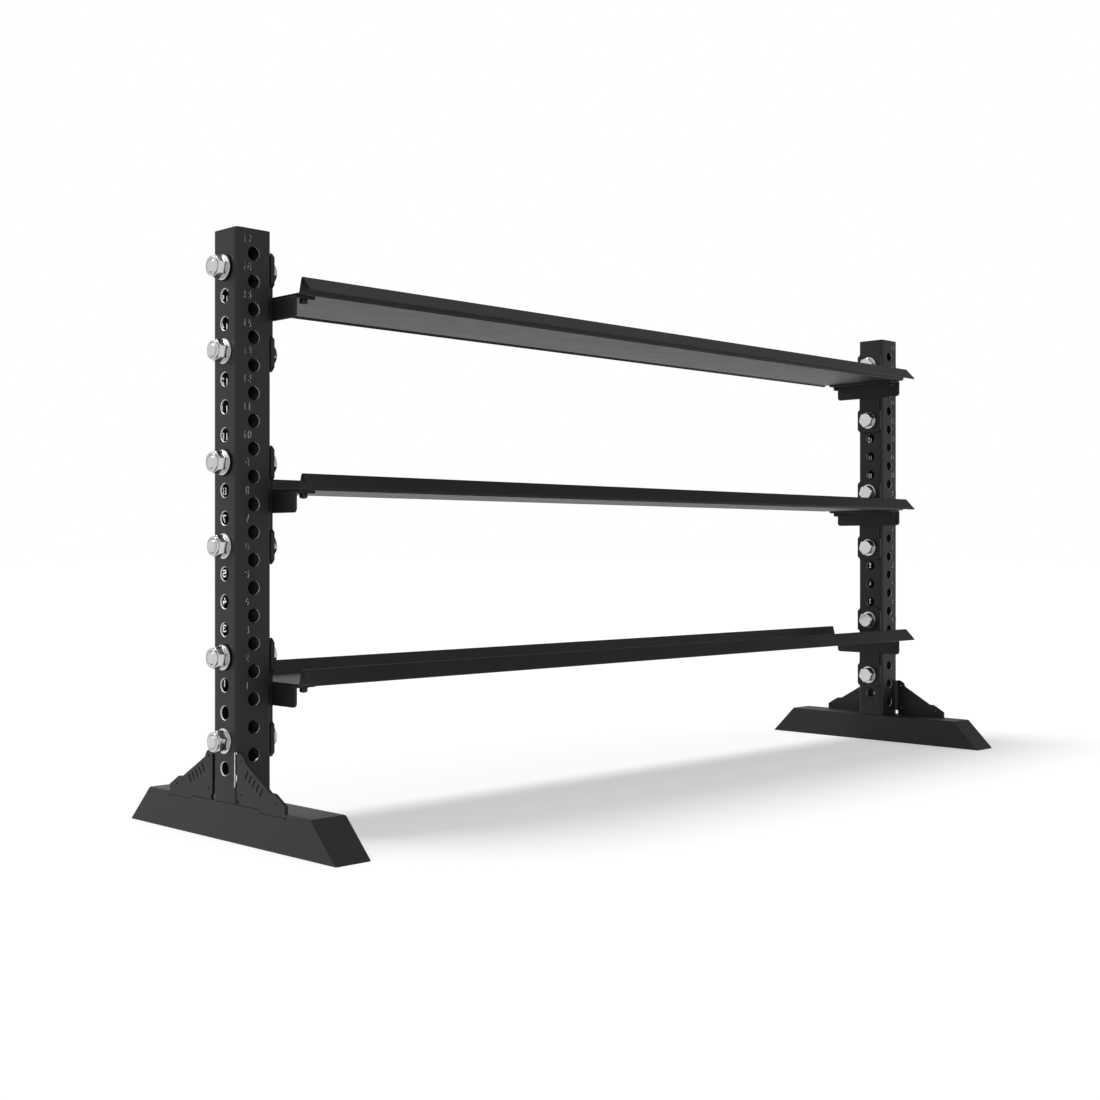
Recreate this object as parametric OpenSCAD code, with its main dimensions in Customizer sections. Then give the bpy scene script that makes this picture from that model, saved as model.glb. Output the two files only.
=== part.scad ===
// Dumbbell rack. Two perforated square uprights stand on splayed feet and carry three folded steel
// trays on bolt-on brackets. X runs along the trays, -Y is the numbered front, Z is up.
// The origin is on the floor, midway between the uprights.

/* [Overall] */
// Clear distance between the inner faces of the two uprights
clear_span = 2000; // [1200:10:2400]
// Height of the upright tops above the floor
rack_height = 1100; // [1075:5:1300]

/* [Uprights] */
// Outer width of the square upright tube
tube_size = 75; // [70:1:80]
// Wall thickness of the upright tube
tube_wall = 3; // [2.5:0.5:6]
// Outer corner radius of the upright tube
tube_corner = 8; // [7:0.5:10]
// Thickness of the cap plate in the top of each upright
cap_thickness = 4; // [3:0.5:8]

/* [Hole pattern] */
// Distance from one hole to the next
hole_pitch = 50; // [46:0.5:52]
// Diameter of the bolt holes
hole_diameter = 25; // [24.6:0.1:27]
// Width of the bevel round each hole on the outside of the tube
hole_bevel = 0.8; // [0.3:0.1:1.2]
// Height of the lowest front hole above the foot
first_hole_height = 35; // [30:1:38]
// Least distance from a hole centre to the top of the upright
hole_end_margin = 30; // [22:1:40]
// Front holes below the one numbered 1
unnumbered_holes = 3; // [1:1:5]

/* [Numbers] */
// Height of a numeral
numeral_height = 13.5; // [10:0.5:16]
// Width of a numeral
numeral_width = 7.6; // [6.6:0.1:8]
// Width of the cut strokes
numeral_stroke = 2.2; // [1.8:0.1:2.4]
// Space between two numerals
numeral_gap = 2.2; // [1.5:0.1:3]
// Distance of the numbers from the line of holes
numeral_offset = 15; // [14:0.5:16]

/* [Feet] */
// Length of a foot along the floor
foot_length = 655; // [560:5:800]
// Height of a foot
foot_height = 70; // [60:1:80]
// Wall thickness of the foot tube
foot_wall = 4; // [3:0.5:4.5]
// Outer corner radius of the foot tube
foot_corner = 3; // [1:0.5:4]
// Thickness of the plates that close the mitred ends
end_plate_thickness = 4; // [3:0.5:8]
// Slope of the mitred ends from the floor
end_angle = 45; // [40:1:60]

/* [Gussets] */
// Plate thickness of a gusset
gusset_thickness = 6; // [5:0.5:7]
// Reach of a gusset along the foot from the upright
gusset_reach = 148; // [130:1:190]
// Height of a gusset above the foot
gusset_rise = 92; // [85:1:98]
// Height of a gusset's outer end above the foot
gusset_toe = 13.5; // [10:0.5:20]
// Width of a gusset's flat top, from the upright's face
gusset_crown = 11.5; // [9:0.5:15]
// Gap between a gusset's inner edge and the upright's face
gusset_gap = 2.5; // [1:0.5:3]
// Drop of the recessed middle of a gusset's slope
gusset_recess = 7; // [4:0.5:9]
// Width of the slot in each outer corner of the upright, beside a gusset
corner_slot_width = 6; // [4:0.5:7]
// Height of that slot's lower end above the foot
corner_slot_height = 30; // [26:1:40]
// Leg of the fillet weld between a gusset's hidden inner side and the upright
weld_leg = 3; // [2.5:0.5:6]
// How far the lower tab of a gusset goes down into the foot
lower_tab_depth = 6; // [3:0.5:7]
// Distance of the lower tab from the upright's face
lower_tab_start = 72; // [60:1:90]
// Diameter of the three small jig holes in a gusset
jig_hole_diameter = 4; // [3:0.5:5]
// Depth of the plain pockets in a gusset's outer face
pocket_depth = 1.5; // [0.8:0.1:2.5]

/* [Tiers] */
// Side hole, counted from zero at the bottom, that takes the lowest bolt of the bottom bracket
first_tier_hole = 1; // [0:1:1]
// Side holes from one tier to the next
tier_step = 7; // [5:1:7]

/* [Brackets] */
// Plate thickness of a bracket
plate_thickness = 8; // [6:0.5:10]
// Width of the bracket plate at its bolts
pad_width = 72; // [66:1:74]
// Width of the bracket plate between its bolts
neck_width = 60; // [54:1:64]
// Distance from a bolt to the end of the bracket plate
pad_reach = 33; // [30:0.5:35]
// Size of the cut corners at the bolts
pad_chamfer = 8; // [4:0.5:10]
// Length of a bracket arm across the rack
arm_length = 196; // [190:1:212]
// Height of the arm's upright flange
arm_drop = 40; // [35:1:45]
// Depth of the arm's level flange, along the tray
arm_depth = 45; // [38:1:60]
// Thickness of the arm
arm_thickness = 5; // [3:0.5:6]
// Radius of the arm's lower corners
arm_corner = 8; // [3:0.5:12]
// Height of the tray above the lower bolt of its bracket
tray_lift = 100; // [88:1:102]

/* [Trays] */
// Width of the flat floor of a tray
tray_floor = 218; // [216:1:260]
// Sheet thickness of a tray
sheet_thickness = 3; // [2:0.25:4]
// Height of the folded ridges above the underside of the tray
ridge_height = 30; // [24:1:40]
// How far a ridge leans out from the floor
ridge_lean = 9; // [4:0.5:16]
// Width of the sloping outer flange
flange_run = 29; // [22:1:40]
// Bend radius in the middle of the sheet
bend_radius = 3; // [2.5:0.5:5]
// Gap between a tray's end and the bracket plate
tray_end_gap = 2; // [1:0.5:6]

/* [Large bolts] */
// Diameter of the large bolts
bolt_diameter = 24; // [22:0.5:24.4]
// Width across the flats of the large bolt heads and lock nuts
wrench_size = 36; // [34:0.5:38]
// Height of the large bolt heads
bolt_head_height = 15; // [12:0.5:17]
// Length of a large bolt under its head
bolt_length = 116; // [114:1:125]
// Outer diameter of the large washers
washer_diameter = 46; // [42:0.5:48]
// Thickness of the large washers
washer_thickness = 3; // [2:0.5:4]
// Outer diameter of the black spacer rings
spacer_diameter = 48; // [46:0.5:50]
// Thickness of the black spacer rings
spacer_thickness = 2.5; // [1.5:0.5:3]
// Height of a lock nut's hexagon
nut_hex_height = 19; // [16:0.5:20]
// Height of a lock nut with its collar
nut_height = 24; // [23:0.5:25]
// Diameter of a lock nut's round collar
collar_diameter = 33; // [31:0.5:33.5]
// Diameter of the nylon ring inside the collar
insert_diameter = 28; // [26:0.5:29]

/* [Tray bolts] */
// Diameter of the tray bolts
tray_bolt_diameter = 8; // [6:0.5:10]
// Clearance of the tray bolts in their holes, on the diameter
tray_bolt_clearance = 1; // [0.5:0.1:1.5]
// Diameter of the tray bolts' button heads
tray_head_diameter = 16; // [14:0.5:20]
// Height of the tray bolts' button heads
tray_head_height = 4.4; // [3.5:0.1:6]
// Width across the flats of the tray nuts
tray_nut_size = 13; // [12.5:0.5:17]
// Height of the tray nuts
tray_nut_height = 7; // [6:0.5:10]
// Outer diameter of the tray washers
tray_washer_diameter = 17; // [16:0.5:22]
// Thickness of the tray washers
tray_washer_thickness = 1.6; // [1:0.1:2]
// Distance of the tray bolts from the ends of the arm
tray_bolt_inset = 8.5; // [8.5:0.5:14]

/* [Hidden] */

$fn = 48;
left = -1;
right = 1;
front = -1;
rear = 1;
bottom = 0;
middle = 1;
top = 2;

powder_coat = "#1d1d1e";
zinc = "#c9cbcc";
black_oxide = "#141414";
nylon = "#e6e6e2";

// A small overlap that lets a cutter pass through a face
over = 1;

// Uprights
half_tube = tube_size / 2;
tube_bore = tube_size - 2 * tube_wall;
tube_inner_corner = tube_corner - tube_wall;
upright_length = rack_height - foot_height;
upright_spacing = clear_span + tube_size;
first_side_hole_height = first_hole_height + hole_pitch / 2;
front_holes = hole_count(first_hole_height);
side_holes = hole_count(first_side_hole_height);

// Numerals
stroke_width = numeral_width - numeral_stroke;
stroke_height = (numeral_height - numeral_stroke) / 2;

// Feet
end_run = foot_height / tan(end_angle);
end_plate_run = end_plate_thickness / sin(end_angle);

// Gussets, measured outwards from the upright's face and upwards from the foot
gusset_slope = (gusset_rise - gusset_toe) / (gusset_reach - gusset_crown);
recess_lead = 11;
recess_ramp = 5;
recess_tail = 31.5;
recess_start = gusset_crown + recess_lead;
recess_end = gusset_reach - recess_tail;
weld_relief = 5;
tab_relief = 2;
tab_clearance = 0.8;
jig_holes = [[16, 19], [15, gusset_rise - 14], [gusset_reach - 26, 16]];
pocket_count = 5;
pocket_length = 17;
pocket_width = 4;
pocket_spacing = 13;
pocket_row_middle = [(gusset_crown + gusset_reach) / 2 - 25, (gusset_rise + gusset_toe) / 2 - 10];

// Brackets and trays
bolt_spacing = 3 * hole_pitch;
plate_face = half_tube + plate_thickness;
arm_bend = 5;
arm_toe = plate_face + arm_depth;
tray_length = upright_spacing - 2 * (plate_face + tray_end_gap);
tray_bolt_x = half_tube + plate_thickness + (arm_depth + arm_thickness) / 2;
tray_bolt_y = arm_length / 2 - tray_bolt_inset;
tray_hole = tray_bolt_diameter + tray_bolt_clearance;
bend_steps = 5;
// How far a sharp fold would stand above a ridge's rounded top, in bend radii
fold_overshoot = 0.9;
// Height of the middle of the sheet at its outer edges
lip_height = 2.1;

// Large bolts, measured from the middle of the upright
washer_hole = bolt_diameter + 1;
head_seat = plate_face + washer_thickness;
head_turn = 12;
thread_chamfer = 2;
// The cut corners of a hexagon: the height of the cut and the round face left, as shares of its size
hexagon_cut = 0.055;
hexagon_face = 0.95;
collar_round = 1.5;
insert_depth = 3.5;
// How far each lock nut is turned, from the bottom bolt to the top one
nut_turns = [15, 11, 11, 11, 11, 11];

// Tray bolts
tray_head_crown = tray_head_diameter * 0.6;
tray_socket = tray_bolt_diameter * 0.7;
tray_bolt_tail = 1;

// How many holes fit above the first one
function hole_count(first) = floor((upright_length - first - hole_end_margin) / hole_pitch) + 1;

// Height of a front hole and of a side hole above the floor
function front_hole_z(i) = foot_height + first_hole_height + i * hole_pitch;
function side_hole_z(i) = foot_height + first_side_hole_height + i * hole_pitch;

// Height of a bracket's lower bolt and of the underside of its tray
function bracket_z(tier) = side_hole_z(first_tier_hole + tier * tier_step);
function tray_z(tier) = bracket_z(tier) + tray_lift;

// Heights of the six large bolts in one upright, and whether a bolt is its bracket's upper one
function large_bolt_z(i) = bracket_z(floor(i / 2)) + (i % 2) * bolt_spacing;
function is_upper(i) = i % 2 == 1;
function spacer_step(i) = is_upper(i) ? spacer_thickness : 0;

// Centre lines of the strokes of each numeral, one unit wide and two units high. Strokes that would
// close a loop stop short, so that nothing inside them drops out.
function numeral_strokes(n) =
    n == 0 ? [[[0.36, 0], [0.2, 0], [0, 0.2], [0, 1.8], [0.2, 2], [0.36, 2]],
              [[0.64, 2], [0.8, 2], [1, 1.8], [1, 0.2], [0.8, 0], [0.64, 0]]] :
    n == 1 ? [[[0.5, -0.17], [0.5, 2.17]]] :
    n == 2 ? [[[0, 1.5], [0, 1.8], [0.2, 2], [0.8, 2], [1, 1.8], [1, 1.3], [0, 0.3], [0, 0], [1.2, 0]]] :
    n == 3 ? [[[0, 1.6], [0, 1.8], [0.2, 2], [0.8, 2], [1, 1.8], [1, 1.25], [0.8, 1.05], [0.3, 1.05]],
              [[0.8, 1.05], [1, 0.85], [1, 0.2], [0.8, 0], [0.2, 0], [0, 0.2], [0, 0.4]]] :
    n == 4 ? [[[0.6, 2.1], [0, 0.62], [1.2, 0.62]], [[0.85, -0.17], [0.85, 1.15]]] :
    n == 5 ? [[[1.2, 2], [0, 2], [0, 1.15], [0.8, 1.15], [1, 0.95], [1, 0.2], [0.8, 0], [0.2, 0],
               [0, 0.2], [0, 0.4]]] :
    n == 6 ? [[[1, 1.6], [1, 1.8], [0.8, 2], [0.2, 2], [0, 1.8], [0, 0.2], [0.2, 0], [0.8, 0],
               [1, 0.2], [1, 0.85], [0.8, 1.05], [0.5, 1.05]]] :
    n == 7 ? [[[-0.2, 2], [1, 2], [1, 1.75], [0.4, -0.17]]] :
    n == 8 ? [[[0.36, 0], [0.2, 0], [0, 0.2], [0, 0.85], [0.2, 1.05], [0, 1.25], [0, 1.8], [0.2, 2],
               [0.36, 2]],
              [[0.64, 2], [0.8, 2], [1, 1.8], [1, 1.25], [0.8, 1.05], [1, 0.85], [1, 0.2], [0.8, 0],
               [0.64, 0]]] :
    [[[0, 0.4], [0, 0.2], [0.2, 0], [0.8, 0], [1, 0.2], [1, 1.8], [0.8, 2], [0.2, 2], [0, 1.8],
      [0, 1.15], [0.2, 0.95], [0.5, 0.95]]];

function digits(number) = number < 10 ? [number] : [floor(number / 10), number % 10];

// Unit vector from one point to the next, and a vector turned a quarter left
function heading(a, b) = (b - a) / norm(b - a);
function left_of(v) = [-v[1], v[0]];

// The points of an arc of the given radius that rounds the corner at b between a and c
function corner_arc(a, b, c, r) =
    let (u = heading(b, a), w = heading(b, c), half = acos(u * w) / 2,
         middle_way = heading([0, 0], u + w), centre = b + middle_way * r / sin(half),
         start = b + u * r / tan(half) - centre, turn = sign(cross(start, b - a)) * (180 - 2 * half))
    [for (i = [0 : bend_steps]) let (t = turn * i / bend_steps)
        centre + [start[0] * cos(t) - start[1] * sin(t), start[0] * sin(t) + start[1] * cos(t)]];

// An open path with all its corners rounded
function rounded_path(p, r) =
    let (last = len(p) - 1)
    concat([p[0]], [for (i = [1 : last - 1]) each corner_arc(p[i - 1], p[i], p[i + 1], r)], [p[last]]);

// A path moved sideways, each point square to the path there
function beside(p, d) =
    let (last = len(p) - 1)
    [for (i = [0 : last])
        let (u = heading(p[max(i - 1, 0)], p[i == 0 ? 1 : i]), w = heading(p[i == last ? i - 1 : i],
             p[min(i + 1, last)]), m = heading([0, 0], left_of(u) + left_of(w)))
        p[i] + m * d / (m * left_of(u))];

function reversed(p) = [for (i = [len(p) - 1 : -1 : 0]) p[i]];

// The middle line of a tray's folded sheet, from its front edge to its rear edge
function tray_line() =
    let (half = tray_floor / 2, t = sheet_thickness / 2, ridge = half + ridge_lean,
         fold_top = ridge_height - t + fold_overshoot * bend_radius, edge = ridge + flange_run - t,
         half_side = [[half, t], [ridge - t / 2, fold_top], [edge, lip_height]])
    concat([for (p = reversed(half_side)) [-p[0], p[1]]], half_side);

// Puts its children on one upright, with +X pointing away from the trays
module on_upright(side) {
    translate([side * upright_spacing / 2, 0, 0])
        mirror([side == left ? 1 : 0, 0, 0])
            children();
}

// Turns a shape that stands on Z so that it lies along X
module along_x() {
    rotate([0, 90, 0])
        children();
}

// Raises a flat drawing made in (Y, Z) to a plate from x to x + thickness
module plate_yz(x, thickness) {
    translate([x, 0, 0])
        rotate([90, 0, 90])
            linear_extrude(thickness)
                children();
}

module rounded_rectangle(w, h, r) {
    square([w - 2 * r, h], center = true);
    square([w, h - 2 * r], center = true);
    for (x = [-1, 1], y = [-1, 1])
        translate([x * (w / 2 - r), y * (h / 2 - r)])
            circle(r);
}

module stroke(a, b) {
    way = b - a;
    translate(a)
        rotate(atan2(way[1], way[0]))
            translate([0, -numeral_stroke / 2])
                square([norm(way), numeral_stroke]);
}

// One numeral drawn about its middle
module numeral(n) {
    for (line = numeral_strokes(n)) {
        points = [for (p = line) [(p[0] - 0.5) * stroke_width, (p[1] - 1) * stroke_height]];
        for (i = [0 : len(points) - 2])
            stroke(points[i], points[i + 1]);
        for (i = [1 : 1 : len(points) - 2])
            translate(points[i])
                circle(numeral_stroke / 2, $fn = 12);
    }
}

module number_drawing(number) {
    figures = digits(number);
    advance = numeral_width + numeral_gap;
    for (i = [0 : len(figures) - 1])
        translate([(i - (len(figures) - 1) / 2) * advance, 0])
            numeral(figures[i]);
}

// Cuts the numbers through the front or the rear wall. They read from outside, on the outer side
// of the holes.
module number_cuts(side, face) {
    for (i = [unnumbered_holes : front_holes - 1])
        translate([side * numeral_offset, face * (half_tube - tube_wall / 2),
                   front_hole_z(i) + hole_pitch / 2])
            rotate([90, 0, face == front ? 0 : 180])
                linear_extrude(tube_wall + 2 * over, center = true)
                    number_drawing(i - unnumbered_holes + 1);
}

// A bore through both walls along Z with a bevel at each outer face
module bevelled_bore() {
    reach = half_tube + over;
    mouth = hole_diameter / 2 + hole_bevel + over;
    cylinder(h = 2 * reach, d = hole_diameter, center = true);
    for (end = [0, 180])
        rotate([end, 0, 0])
            translate([0, 0, half_tube - hole_bevel])
                cylinder(h = hole_bevel + over, r1 = hole_diameter / 2, r2 = mouth);
}

// Opens the upright's outer wall at its corner, beside the upper part of a gusset. The second cut takes
// away the inner corner behind the opening and leaves the front or rear wall whole.
module corner_slot(face) {
    start = half_tube - corner_slot_width;
    height = gusset_rise - corner_slot_height;
    mirror([0, face == front ? 1 : 0, 0])
        translate([0, start, foot_height + corner_slot_height]) {
            translate([half_tube - tube_wall, 0, 0])
                cube([tube_wall + over, corner_slot_width + over, height]);
            translate([start, 0, 0])
                cube([corner_slot_width, max(over, corner_slot_width - tube_wall), height]);
        }
}

module upright(side) {
    color(powder_coat)
        difference() {
            translate([side * upright_spacing / 2, 0, foot_height])
                linear_extrude(upright_length)
                    difference() {
                        rounded_rectangle(tube_size, tube_size, tube_corner);
                        rounded_rectangle(tube_bore, tube_bore, tube_inner_corner);
                    }
            translate([side * upright_spacing / 2, 0, 0]) {
                for (i = [0 : front_holes - 1])
                    translate([0, 0, front_hole_z(i)])
                        rotate([90, 0, 0])
                            bevelled_bore();
                for (i = [0 : side_holes - 1])
                    translate([0, 0, side_hole_z(i)])
                        along_x()
                            bevelled_bore();
                for (face = [front, rear])
                    number_cuts(side, face);
            }
            for (face = [front, rear])
                on_upright(side)
                    corner_slot(face);
        }
}

module upright_cap(side) {
    color(powder_coat)
        translate([side * upright_spacing / 2, 0, rack_height - cap_thickness])
            linear_extrude(cap_thickness)
                rounded_rectangle(tube_bore, tube_bore, tube_inner_corner);
}

// Side view of a foot, between two levels of mitre
module foot_side_view(trim) {
    half = foot_length / 2 - trim;
    polygon([[-half, 0], [half, 0], [half - end_run, foot_height], [end_run - half, foot_height]]);
}

module foot_section(wall) {
    difference() {
        rounded_rectangle(tube_size, foot_height, foot_corner);
        if (wall > 0)
            square([tube_size - 2 * wall, foot_height - 2 * wall], center = true);
    }
}

module foot_bar(wall) {
    translate([0, 0, foot_height / 2])
        rotate([90, 0, 0])
            linear_extrude(foot_length, center = true)
                foot_section(wall);
}

// The notch in the foot's upper outer edge for a gusset's lower tab, a little longer and deeper
module foot_notch(face) {
    start = half_tube + lower_tab_start - tab_clearance;
    run = gusset_reach - lower_tab_start + tab_clearance;
    depth = lower_tab_depth + tab_clearance;
    translate([half_tube - gusset_thickness, face == front ? -start - run : start,
               foot_height - depth])
        cube([gusset_thickness + over, run, depth + over]);
    translate([half_tube - gusset_thickness, face * (start + run), foot_height - depth])
        along_x()
            cylinder(h = gusset_thickness + over, r = tab_relief, $fn = 24);
}

module foot(side) {
    color(powder_coat)
        on_upright(side)
            difference() {
                intersection() {
                    foot_bar(foot_wall);
                    plate_yz(-tube_size, 2 * tube_size)
                        foot_side_view(end_plate_run);
                }
                foot_notch(front);
                foot_notch(rear);
            }
}

module end_plate(side, face) {
    color(powder_coat)
        on_upright(side)
            intersection() {
                foot_bar(0);
                plate_yz(-tube_size, 2 * tube_size)
                    intersection() {
                        difference() {
                            foot_side_view(0);
                            foot_side_view(end_plate_run);
                        }
                        translate([face == front ? -foot_length : 0, 0])
                            square([foot_length, foot_height]);
                    }
            }
}

function gusset_edge(s) = gusset_rise - (s - gusset_crown) * gusset_slope;

// A gusset seen from the side: first coordinate outwards from the upright, second up from the foot
module gusset_drawing() {
    difference() {
        polygon([
            [gusset_gap, 0], [gusset_gap, gusset_rise], [gusset_crown, gusset_rise],
            [recess_start, gusset_edge(recess_start)],
            [recess_start + recess_ramp, gusset_edge(recess_start + recess_ramp) - gusset_recess],
            [recess_end - gusset_recess / gusset_slope, gusset_edge(recess_end)],
            [recess_end, gusset_edge(recess_end)],
            [gusset_reach, gusset_toe], [gusset_reach, -lower_tab_depth],
            [lower_tab_start, -lower_tab_depth], [lower_tab_start, 0]
        ]);
        translate([gusset_gap, weld_relief])
            circle(weld_relief, $fn = 32);
        for (p = jig_holes)
            translate(p)
                circle(d = jig_hole_diameter, $fn = 24);
    }
}

// A row of plain rounded pockets that follows the gusset's slope
module pocket_row() {
    run = pocket_length - pocket_width;
    translate(pocket_row_middle)
        rotate(-atan(gusset_slope))
            for (i = [0 : pocket_count - 1])
                translate([(i - (pocket_count - 1) / 2) * pocket_spacing, 0]) {
                    square([pocket_width, run], center = true);
                    for (end = [-1, 1])
                        translate([0, end * run / 2])
                            circle(d = pocket_width, $fn = 24);
                }
}

// The weld that bridges the gap to the upright, on the side of the gusset that faces the trays
module gusset_weld() {
    plate = half_tube - gusset_thickness;
    toe = gusset_gap + weld_leg;
    translate([0, 0, 2 * weld_relief])
        linear_extrude(gusset_rise - 2 * weld_relief)
            polygon([[plate - weld_leg - gusset_gap, 0], [plate, 0], [plate, gusset_gap],
                     [plate + over, gusset_gap], [plate + over, toe], [plate, toe]]);
}

module gusset(side, face) {
    color(powder_coat)
        on_upright(side)
            translate([0, face * half_tube, foot_height])
                mirror([0, face == front ? 1 : 0, 0]) {
                    difference() {
                        plate_yz(half_tube - gusset_thickness, gusset_thickness)
                            gusset_drawing();
                        plate_yz(half_tube - pocket_depth, pocket_depth + over)
                            pocket_row();
                    }
                    gusset_weld();
                }
}

// A bracket plate seen along the trays, with the lower bolt at the origin
module bracket_plate_drawing() {
    pad = pad_width / 2;
    neck = neck_width / 2;
    flat = pad_reach - pad_chamfer;
    neck_start = flat + pad - neck;
    half_side = [
        [pad - pad_chamfer, -pad_reach], [pad, -flat], [pad, flat], [neck, neck_start],
        [neck, bolt_spacing - neck_start], [pad, bolt_spacing - flat], [pad, bolt_spacing + flat],
        [pad - pad_chamfer, bolt_spacing + pad_reach]
    ];
    difference() {
        polygon(concat(half_side, [for (p = reversed(half_side)) [-p[0], p[1]]]));
        for (z = [0, bolt_spacing])
            translate([0, z])
                circle(d = hole_diameter);
    }
}

module bracket_plate(side, tier) {
    color(powder_coat)
        on_upright(side)
            translate([0, 0, bracket_z(tier)])
                plate_yz(-plate_face, plate_thickness)
                    bracket_plate_drawing();
}

// The folded arm seen along the rack's depth: an upright flange and a level one under the tray
module arm_section() {
    intersection() {
        union() {
            translate([0, -arm_drop])
                square([arm_thickness, arm_drop]);
            translate([0, -arm_thickness])
                square([arm_depth, arm_thickness]);
        }
        union() {
            translate([arm_bend, -arm_bend])
                circle(arm_bend);
            translate([arm_bend, -arm_drop])
                square([arm_depth, arm_drop]);
            translate([0, -arm_drop])
                square([arm_depth, arm_drop - arm_bend]);
        }
    }
}

// What remains of the arm's lower corners, seen along the trays
module arm_end_view() {
    half = arm_length / 2;
    translate([-half, -arm_drop + arm_corner])
        square([arm_length, arm_drop - arm_corner]);
    translate([arm_corner - half, -arm_drop])
        square([arm_length - 2 * arm_corner, arm_drop]);
    for (end = [-1, 1])
        translate([end * (half - arm_corner), arm_corner - arm_drop])
            circle(arm_corner);
}

module bracket_arm(side, tier) {
    color(powder_coat)
        on_upright(side)
            translate([0, 0, tray_z(tier)])
                difference() {
                    intersection() {
                        translate([-plate_face, 0, 0])
                            rotate([90, 0, 0])
                                mirror([1, 0, 0])
                                    linear_extrude(arm_length, center = true)
                                        arm_section();
                        plate_yz(-arm_toe - over, arm_depth + 2 * over)
                            arm_end_view();
                    }
                    tray_bolt_holes(-arm_thickness);
                }
}

// The holes for one end's two tray bolts, from the given level upwards
module tray_bolt_holes(base) {
    for (end = [-1, 1])
        translate([-tray_bolt_x, end * tray_bolt_y, base - over])
            cylinder(h = arm_thickness + sheet_thickness + 2 * over, d = tray_hole, $fn = 24);
}

module shelf(tier) {
    line = rounded_path(tray_line(), bend_radius);
    color(powder_coat)
        difference() {
            translate([0, 0, tray_z(tier)])
                plate_yz(-tray_length / 2, tray_length)
                    polygon(concat(beside(line, sheet_thickness / 2),
                                   reversed(beside(line, -sheet_thickness / 2))));
            for (side = [left, right])
                on_upright(side)
                    translate([0, 0, tray_z(tier)])
                        tray_bolt_holes(0);
        }
}

// A hexagon with its corners taken off at one end or at both
module hexagon_blank(size, height, both_ends) {
    corners = size / cos(30);
    cut = size * hexagon_cut;
    face = size * hexagon_face;
    intersection() {
        cylinder(h = height, d = corners, $fn = 6);
        union() {
            cylinder(h = cut, d1 = both_ends ? face : corners + over, d2 = corners + over);
            translate([0, 0, cut])
                cylinder(h = height - 2 * cut, d = corners + over);
            translate([0, 0, height - cut])
                cylinder(h = cut, d1 = corners + over, d2 = face);
        }
    }
}

// One large bolt along -Z: its head stands on z = 0 and its shank goes down
module large_bolt() {
    hexagon_blank(wrench_size, bolt_head_height, false);
    translate([0, 0, thread_chamfer - bolt_length])
        cylinder(h = bolt_length - thread_chamfer, d = bolt_diameter);
    translate([0, 0, -bolt_length])
        cylinder(h = thread_chamfer, d1 = bolt_diameter - 2 * thread_chamfer, d2 = bolt_diameter);
}

// Puts a fastener at each of the six large bolts, standing at x and pointing to the trays (-1) or
// away from them (1)
module at_large_bolts(side, pointing) {
    on_upright(side)
        for (i = [0 : 5])
            translate([0, 0, large_bolt_z(i)])
                rotate([0, pointing * 90, 0]) {
                    $bolt = i;
                    children();
                }
}

module bracket_bolts(side) {
    color(zinc)
        at_large_bolts(side, -1)
            translate([0, 0, head_seat])
                rotate(90 + side * head_turn)
                    large_bolt();
}

module ring(outer, bore, height) {
    difference() {
        cylinder(h = height, d = outer);
        translate([0, 0, -over])
            cylinder(h = height + 2 * over, d = bore);
    }
}

module head_washers(side) {
    color(zinc)
        at_large_bolts(side, -1)
            translate([0, 0, plate_face])
                ring(washer_diameter, washer_hole, washer_thickness);
}

module spacer_rings(side) {
    color(black_oxide)
        at_large_bolts(side, 1)
            if (is_upper($bolt))
                translate([0, 0, half_tube])
                    ring(spacer_diameter, washer_hole, spacer_thickness);
}

module nut_washers(side) {
    color(zinc)
        at_large_bolts(side, 1)
            translate([0, 0, half_tube + spacer_step($bolt)])
                ring(washer_diameter, washer_hole, washer_thickness);
}

// A lock nut standing on z = 0: a hexagon and a round collar, hollow for its nylon ring
module lock_nut() {
    difference() {
        union() {
            hexagon_blank(wrench_size, nut_hex_height, true);
            cylinder(h = nut_height - collar_round, d = collar_diameter);
            translate([0, 0, nut_height - collar_round])
                cylinder(h = collar_round, d1 = collar_diameter, d2 = collar_diameter - 2 * collar_round);
        }
        translate([0, 0, -over])
            cylinder(h = nut_height + 2 * over, d = bolt_diameter);
        translate([0, 0, nut_height - collar_round - insert_depth])
            cylinder(h = insert_depth, d = insert_diameter);
    }
}

module at_nut_seats(side) {
    at_large_bolts(side, 1)
        translate([0, 0, half_tube + spacer_step($bolt) + washer_thickness])
            rotate(nut_turns[$bolt])
                children();
}

module lock_nuts(side) {
    color(zinc)
        at_nut_seats(side)
            lock_nut();
}

module nut_inserts(side) {
    color(nylon)
        at_nut_seats(side)
            translate([0, 0, nut_height - collar_round - insert_depth])
                ring(insert_diameter, bolt_diameter, insert_depth);
}

// Puts a fastener at each of a tray's four bolts, at a level measured from the tray's underside
module at_tray_bolts(tier, level) {
    for (side = [left, right], end = [-1, 1])
        on_upright(side)
            translate([-tray_bolt_x, end * tray_bolt_y, tray_z(tier) + level])
                children();
}

module shelf_bolts(tier) {
    shank = sheet_thickness + arm_thickness + tray_washer_thickness + tray_nut_height + tray_bolt_tail;
    rim = tray_head_height / 3;
    color(black_oxide)
        at_tray_bolts(tier, sheet_thickness)
            difference() {
                union() {
                    translate([0, 0, -shank])
                        cylinder(h = shank, d = tray_bolt_diameter);
                    cylinder(h = rim, d = tray_head_diameter);
                    translate([0, 0, rim])
                        cylinder(h = tray_head_height - rim, d1 = tray_head_diameter, d2 = tray_head_crown);
                }
                translate([0, 0, rim])
                    cylinder(h = tray_head_height, d = tray_socket, $fn = 6);
            }
}

module shelf_washers(tier) {
    color(black_oxide)
        at_tray_bolts(tier, -arm_thickness - tray_washer_thickness)
            ring(tray_washer_diameter, tray_hole, tray_washer_thickness);
}

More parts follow.
